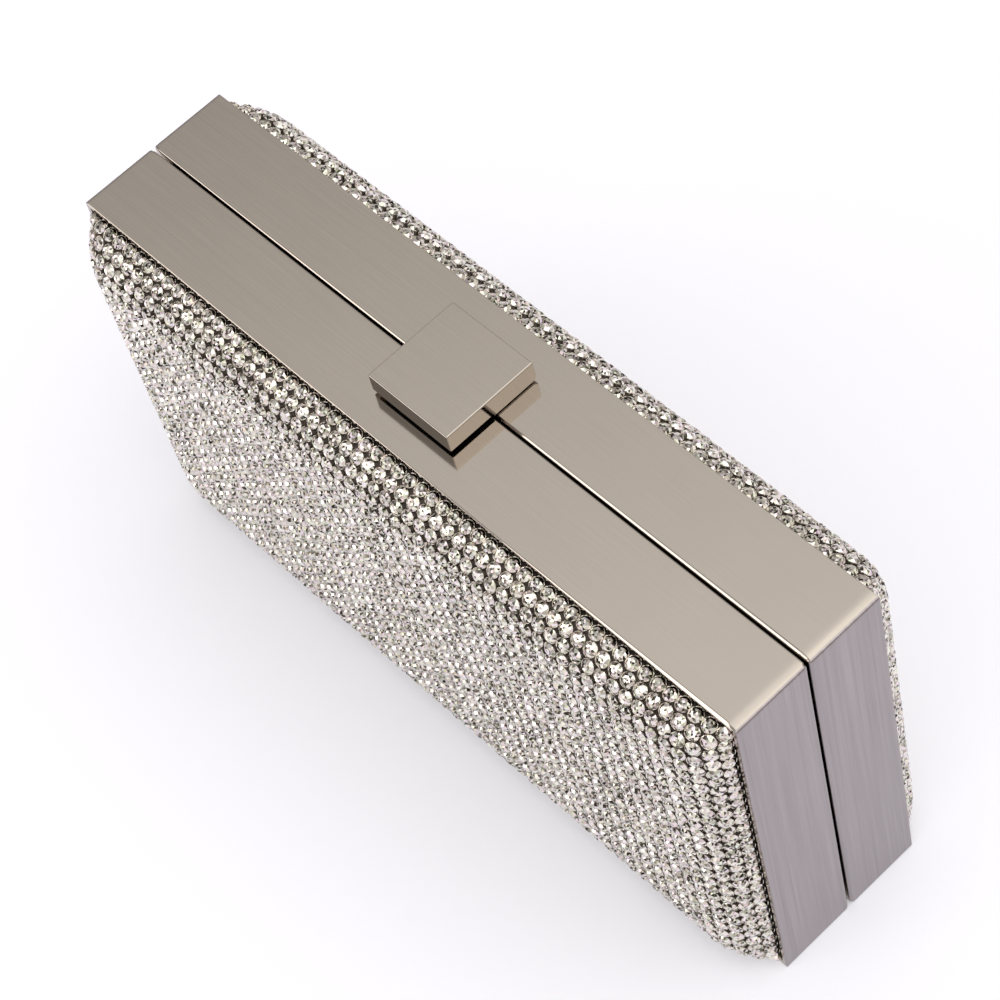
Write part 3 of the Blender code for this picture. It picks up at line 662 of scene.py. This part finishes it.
def claspCutters(low, high, pin, pinRadius):
    over = clasp["overrun"]
    gap = clasp["runningGap"]
    beamFront = high.y - clasp["beam"]
    wallX = high.x - clasp["wall"]
    ceiling = high.z - clasp["wall"]
    hollow = boxMesh((-wallX, low.y + clasp["wall"], low.z - over), (wallX, beamFront, ceiling))
    underFront = boxMesh((low.x - over, low.y - over, low.z - over),
                         (high.x + over, 0.0, caseHeight + clasp["frontGap"]))
    boreMiddle = ((low.x - over + wallX) / 2, pin.y, pin.z)
    bore = rodMesh(boreMiddle, pinRadius + gap, wallX - low.x + over, lying=True)
    cutters = [hollow, underFront, bore]
    for sign, word in ((-1, "left"), (1, "right")):
        center = sign * clasp["eyeSpread"] / 2
        cutters.append(boxMesh(
            (center - clasp["slotWidth"] / 2, beamFront - over, low.z - over),
            (center + clasp["slotWidth"] / 2, high.y + over, caseHeight + clasp["slotTop"])))
        screwLow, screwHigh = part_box("tongue_screw_" + word)
        screw = (screwLow + screwHigh) / 2
        shank = (screwHigh.x - screwLow.x) / 4  # half as thick as the head
        holeMiddle = (screw.x, screw.y, screwHigh.z + gap - over)
        cutters.append(rodMesh(holeMiddle, shank + gap, 2 * over, lying=False))
    return cutters


def claspBlock():  # hollow below, its edges slightly rounded and its heel rounded about the pin
    low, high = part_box("clasp_cover")
    pinLow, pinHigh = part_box("clasp_pin")
    pin = (pinLow + pinHigh) / 2
    bm = boxMesh(low, high)
    heel = [edge for edge in bm.edges
            if all(vert.co.y > pin.y and vert.co.z < pin.z for vert in edge.verts)]
    rounded(bm, heel, high.y - pin.y, clasp["heelSteps"], clamped=False)
    rims = [edge for edge in bm.edges if isSharp(edge)]
    rounded(bm, rims, clasp["edge"], edgeSteps, clamped=True)
    bm = cutAway(bm, claspCutters(low, high, pin, (pinHigh.z - pinLow.z) / 2))
    finishedMetal(bm, "clasp_cover", "clasp_block")


for half, side in halves.items():
    frameBand(half, side)
claspBlock()
for node, part in frame["nodes"].items():
    if slotOf[node] in cadFinish:
        part.data.materials.clear()
        part.data.materials.append(cadFinish[slotOf[node]])
print("metal pieces")


# Crystal mesh: stones in cups, spaced evenly over the domed faces

dome = {"inset": 1.5 * mm, "edge": 11.0 * mm, "rise": 8.5 * mm, "crown": 0.4 * mm}
panel = {
    "columns": 58,
    "rows": 31,
    "rimGap": 1.5 * mm,  # from the rim to the middle of the outer stones, along the surface
    "ladder": 60,  # steps on the flat and on the rounded edge, for measuring along the surface
    "firstGuess": 0.9,
    "passes": 6,
    "slopeStep": 0.01 * mm,
    "rings": (  # corners, radius, depth below the table and turn in degrees
        (16, 1.62 * mm, 0.70 * mm, 0.0),
        (8, 1.36 * mm, 0.36 * mm, 22.5),
        (8, 0.94 * mm, 0.0, 0.0),
    ),
    "tableInset": 0.40 * mm,
    "tableSink": 0.05 * mm,
    "cupSides": 12,
    "cupRadius": 1.67 * mm,
    "cupFoot": 1.35 * mm,
    "cupTop": 0.56 * mm,
    "cupBottom": 1.90 * mm,
    "cupWall": 0.10 * mm,
    "clawHeight": 0.14 * mm,
    "clawLean": 0.93,
    "tilt": math.radians(3.5),
    "seeds": {"rear": 11, "front": 29},
    "seedShift": 0.37,  # times the seed, added to the stones' numbers so that the panels differ
}
net = {
    "sink": 1.5 * mm,
    "columns": 96,
    "rows": 56,
    "skirt": 2.5 * mm,
    "thickness": 0.3 * mm,
}


def edgeLift(distance, inset):  # 0 at the rim, 1 on the flat middle, round between
    share = np.clip((distance - inset) / dome["edge"], 0.0, 1.0)
    return np.sqrt(np.clip(1.0 - (1.0 - share) ** 2, 0.0, 1.0))


def domeHeight(x, z, inset, rise):
    lift = edgeLift(halfWidth - np.abs(x), inset) * edgeLift(halfHeight - np.abs(z), inset)
    crown = dome["crown"] * (1 - (x / halfWidth) ** 2) * (1 - (z / halfHeight) ** 2)
    return halfDepth + (rise + crown) * lift


def heightAlong(run, other, alongX, inset, rise):
    return domeHeight(run, other, inset, rise) if alongX else domeHeight(other, run, inset, rise)


def stations(half, inset):  # close together where the surface is steep
    turn = np.linspace(0.0, math.pi / 2, panel["ladder"])
    flat = half - inset - dome["edge"]
    middle = np.linspace(0.0, flat, panel["ladder"], endpoint=False)
    return np.concatenate([middle, flat + dome["edge"] * np.sin(turn)])


def evenPlace(share, half, other, alongX):  # share -1 to 1 of the way along the surface
    ladder = stations(half, dome["inset"])[None, :]
    fixed = other[:, None] * np.ones_like(ladder)
    grid = np.broadcast_to(ladder, fixed.shape)
    height = heightAlong(grid, fixed, alongX, dome["inset"], dome["rise"])
    steps = np.hypot(np.diff(grid, axis=1), np.diff(height, axis=1))
    length = np.concatenate([np.zeros((len(other), 1)), np.cumsum(steps, axis=1)], axis=1)
    wanted = np.abs(share) * (length[:, -1] - panel["rimGap"])
    found = np.array([np.interp(goal, marks, ladder[0]) for goal, marks in zip(wanted, length)])
    return np.sign(share) * found


def stonePlaces():
    columns, rows = np.meshgrid(np.linspace(-1, 1, panel["columns"]), np.linspace(-1, 1, panel["rows"]))
    columns, rows = columns.ravel(), rows.ravel()
    x = columns * halfWidth * panel["firstGuess"]
    z = rows * halfHeight * panel["firstGuess"]
    for _ in range(panel["passes"]):
        x = evenPlace(columns, halfWidth, z, True)
        z = evenPlace(rows, halfHeight, x, False)

    def height(x, z):
        return domeHeight(x, z, dome["inset"], dome["rise"])

    step = panel["slopeStep"]
    slopeX = (height(x + step, z) - height(x - step, z)) / (2 * step)
    slopeZ = (height(x, z + step) - height(x, z - step)) / (2 * step)
    return x, height(x, z), z, slopeX, slopeZ


def unitMesh(bm, name):
    unit = bpy.data.meshes.new(name)
    bm.to_mesh(unit)
    bm.free()
    return unit


def uppermost(bm):
    return max(bm.faces, key=lambda face: face.calc_center_median().z)


def brilliantStone():
    bm = bmesh.new()
    for count, radius, depth, turn in panel["rings"]:
        at = Matrix.Translation((0.0, 0.0, -depth)) @ Matrix.Rotation(math.radians(turn), 4, "Z")
        bmesh.ops.create_circle(bm, segments=count, radius=radius, matrix=at)
    bmesh.ops.convex_hull(bm, input=bm.verts[:])
    bmesh.ops.dissolve_limit(bm, angle_limit=flatAngle, verts=bm.verts[:], edges=bm.edges[:])
    bmesh.ops.delete(bm, geom=[edge for edge in bm.edges if not edge.link_faces], context="EDGES")
    table = uppermost(bm)
    bmesh.ops.inset_region(bm, faces=[table], thickness=panel["tableInset"], depth=-panel["tableSink"])
    bmesh.ops.poke(bm, faces=[table], offset=panel["tableSink"])
    bmesh.ops.recalc_face_normals(bm, faces=bm.faces[:])
    return unitMesh(bm, "stoneUnit")


def stoneCup():
    bm = bmesh.new()
    middle = -(panel["cupBottom"] + panel["cupTop"]) / 2
    bmesh.ops.create_cone(bm, cap_ends=True, segments=panel["cupSides"],
                          radius1=panel["cupFoot"], radius2=panel["cupRadius"],
                          depth=panel["cupBottom"] - panel["cupTop"],
                          matrix=Matrix.Translation((0.0, 0.0, middle)))
    top = uppermost(bm)
    rim = bmesh.ops.inset_region(bm, faces=[top], thickness=panel["cupWall"], depth=0.0)["faces"]
    for vert in top.verts:
        vert.co.z -= panel["cupWall"]
    claws = []
    for face in rim:
        center = face.calc_center_median()
        if abs(abs(center.x) - abs(center.y)) < panel["cupWall"]:
            claws.append(face)
    for vert in bmesh.ops.poke(bm, faces=claws, offset=panel["clawHeight"])["verts"]:
        vert.co.x *= panel["clawLean"]
        vert.co.y *= panel["clawLean"]
    return unitMesh(bm, "cupUnit")


def seatedAt(places, side, seed, turnStep):
    draw = random.Random(seed)
    seats = []
    for x, y, z, slopeX, slopeZ in zip(*places):
        outward = Vector((-slopeX, 1.0, -slopeZ)).normalized()
        across = Vector((0.0, 0.0, 1.0)).cross(outward).normalized()
        seat = Matrix((across, outward.cross(across), outward)).transposed().to_4x4()
        seat.translation = Vector((x, y, z + halfHeight))
        if side < 0:
            seat = Matrix.Rotation(math.pi, 4, "Z") @ seat
        lean = Matrix.Rotation(draw.uniform(-1, 1) * panel["tilt"], 4, "X") \
            @ Matrix.Rotation(draw.uniform(-1, 1) * panel["tilt"], 4, "Y")
        spin = Matrix.Rotation(draw.uniform(0, 1) * turnStep, 4, "Z")
        seats.append(seat @ lean @ spin)
    return seats


def repeated(unit, seats):
    bm = bmesh.new()
    for seat in seats:
        copy = unit.copy()
        copy.transform(seat)
        bm.from_mesh(copy)
        bpy.data.meshes.remove(copy)
    return bm


def gridPlace(share, flat):  # half of the lines on the flat, half on the rounded edge
    if abs(share) < 0.5:
        return share * 2 * flat
    turn = (abs(share) - 0.5) * math.pi
    return math.copysign(flat + dome["edge"] * math.sin(turn), share)


def domedGrid(inset, rise, columns, rows):
    bm = bmesh.new()
    bmesh.ops.create_grid(bm, x_segments=columns, y_segments=rows, size=1.0)
    flatX = halfWidth - inset - dome["edge"]
    flatZ = halfHeight - inset - dome["edge"]
    for vert in bm.verts:
        vert.co.x, vert.co.z = gridPlace(vert.co.x, flatX), gridPlace(vert.co.y, flatZ)
        vert.co.y = float(domeHeight(vert.co.x, vert.co.z, inset, rise))
    return bm


def grownFrom(bm, rim):  # the points and the outer edges of a new strip along the rim
    grown = bmesh.ops.extrude_edge_only(bm, edges=rim)["geom"]
    points = [part for part in grown if isinstance(part, bmesh.types.BMVert)]
    outer = [part for part in grown if isinstance(part, bmesh.types.BMEdge) and part.is_boundary]
    return points, outer


def setInHalf(bm, side):  # from the middle of the case to its own half
    bmesh.ops.translate(bm, verts=bm.verts[:], vec=(0.0, 0.0, halfHeight))
    if side < 0:
        bmesh.ops.rotate(bm, verts=bm.verts[:], cent=(0.0, 0.0, 0.0),
                         matrix=Matrix.Rotation(math.pi, 3, "Z"))
    bmesh.ops.recalc_face_normals(bm, faces=bm.faces[:])
    for face in bm.faces:
        face.smooth = True


def thickened(piece, thickness, offset):
    wall = piece.modifiers.new("cloth", "SOLIDIFY")
    wall.thickness = thickness
    wall.offset = offset


def meshBacking(side):
    bm = domedGrid(dome["inset"] + net["sink"], dome["rise"] - net["sink"], net["columns"], net["rows"])
    points, _ = grownFrom(bm, [edge for edge in bm.edges if edge.is_boundary])
    for vert in points:
        vert.co.y = halfDepth - net["skirt"]
    setInHalf(bm, side)
    return bm


def crystalMesh(half, side):
    seed = panel["seeds"][half]
    body = half + "_half"
    seats = seatedAt(places, side, seed, math.pi)
    stones = pieceFrom(repeated(stoneUnit, seats), half + "_stones", stoneGlass, body)
    facets = len(stoneUnit.polygons)
    marks = {
        "facet": np.tile(np.arange(facets), len(seats)),
        "stone": np.repeat(np.arange(len(seats)) + seed * panel["seedShift"], facets),
    }
    for name, values in marks.items():
        layer = stones.data.attributes.new(name, "FLOAT", "FACE")
        layer.data.foreach_set("value", values.astype(np.float32))
    cups = repeated(cupUnit, seatedAt(places, side, seed, 0.0))
    pieceFrom(cups, half + "_stone_cups", cupMetal, body)
    sheet = pieceFrom(meshBacking(side), half + "_mesh_backing", meshBoard, body)
    thickened(sheet, net["thickness"], -1.0)
    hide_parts(half + "_crystal_mesh")
    print(half, "panel:", len(seats), "stones,", len(stones.data.polygons), "facets")


places = stonePlaces()
stoneUnit = brilliantStone()
cupUnit = stoneCup()
for half, side in halves.items():
    crystalMesh(half, side)


# Linings: satin drawn over board, one tray in each half

lining = {
    "inset": 6.0 * mm,
    "rise": 4.0 * mm,
    "waist": 14.1 * mm,  # where the wall leaves the domed bottom
    "rim": 0.75 * mm,
    "rimInset": 4.6 * mm,
    "columns": 120,
    "rows": 68,
    "wallSteps": 7,
    "cloth": 0.45 * mm,
    "pull": 0.22 * mm,  # depth of the tension folds that run out of the corners
    "pulls": 9,  # folds in each corner
    "pullReach": 26.0 * mm,
    "ease": 6.0 * mm,  # the cloth lies flat this close to its edge
    "slack": 0.16 * mm,  # soft unevenness all over
    "slackSize": 22.0 * mm,
    "measures": 400,  # points along a section of the tray
}


def clothLift(x, z, outerX, outerZ, side):  # how far the satin stands off the board
    fromX, fromZ = outerX - abs(x), outerZ - abs(z)
    still = min(1.0, max(0.0, min(fromX, fromZ)) / lining["ease"])
    fading = math.exp(-(math.hypot(fromX, fromZ) / lining["pullReach"]) ** 2)
    folds = math.sin(math.atan2(fromZ, fromX) * 2 * lining["pulls"]) * fading
    place = Vector((x, z, side * lining["slackSize"])) / lining["slackSize"]
    return still * (lining["pull"] * folds + lining["slack"] * unevenness.noise(place))


def liningTray(side):
    bm = domedGrid(lining["inset"], lining["rise"], lining["columns"], lining["rows"])
    rim = [edge for edge in bm.edges if edge.is_boundary]
    outerX, outerZ = halfWidth - lining["inset"], halfHeight - lining["inset"]
    for vert in bm.verts:
        vert.co.y -= abs(clothLift(vert.co.x, vert.co.z, outerX, outerZ, side))
    for step in range(1, lining["wallSteps"] + 1):
        share = step / lining["wallSteps"]
        grow = share * (lining["inset"] - lining["rimInset"])
        points, rim = grownFrom(bm, rim)
        for vert in points:
            vert.co.y = lining["waist"] + share * (lining["rim"] - lining["waist"])
            if abs(vert.co.x) > outerX - weld:
                vert.co.x = math.copysign(outerX + grow, vert.co.x)
            if abs(vert.co.z) > outerZ - weld:
                vert.co.z = math.copysign(outerZ + grow, vert.co.z)
    setInHalf(bm, side)
    return bm


for half, side in halves.items():
    bm = liningTray(side)
    area = sum(face.calc_area() for face in bm.faces)
    cloth = pieceFrom(bm, half + "_lining_satin", liningCover, half + "_half")
    thickened(cloth, lining["cloth"], 0.0)
    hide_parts(half + "_lining")


bpy.context.scene.view_settings.view_transform = "Standard"
